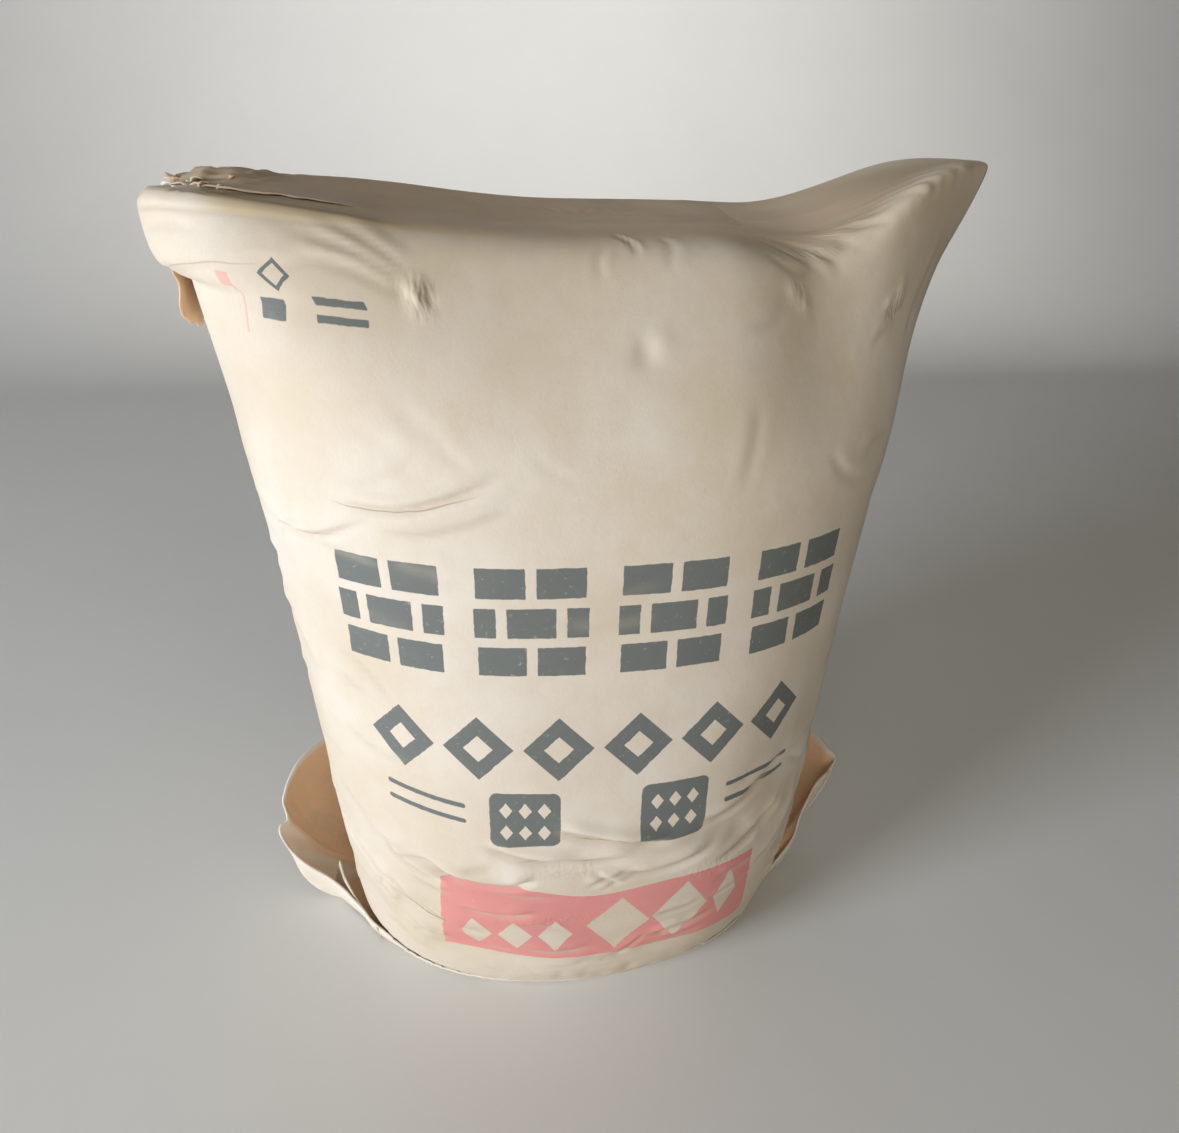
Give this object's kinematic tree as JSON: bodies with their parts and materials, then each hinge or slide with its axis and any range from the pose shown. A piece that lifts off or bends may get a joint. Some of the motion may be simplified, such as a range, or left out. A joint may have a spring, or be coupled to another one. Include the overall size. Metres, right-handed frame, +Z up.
{
  "type": "cement bag",
  "caption": "Filled paper sack of cement with pasted ends, standing upright on its bottom end, its ears curled up and its valve tongue hanging out.",
  "frame": {"origin": "on the floor, under the middle of the sack, on the flat patch of its bottom cover", "axes": "+Z up, the printed front face looks along -Y, the pointed ear of the top end is at +X"},
  "size_m": [0.3734, 0.2198, 0.4279],
  "materials": {
    "cream_paper": "matte cream outer ply with faded grey and red print",
    "shaded_paper": "matte pasted cover sheet, dusty",
    "cream_rim": "matte cream outside, brown kraft inside",
    "kraft_inside": "matte bare brown kraft"
  },
  "bodies": {
    "root": {"filled_sack": "cream_paper", "top_cover": "shaded_paper", "bottom_cover": "cream_rim", "valve_tongue": "kraft_inside"}
  },
  "joints": []
}
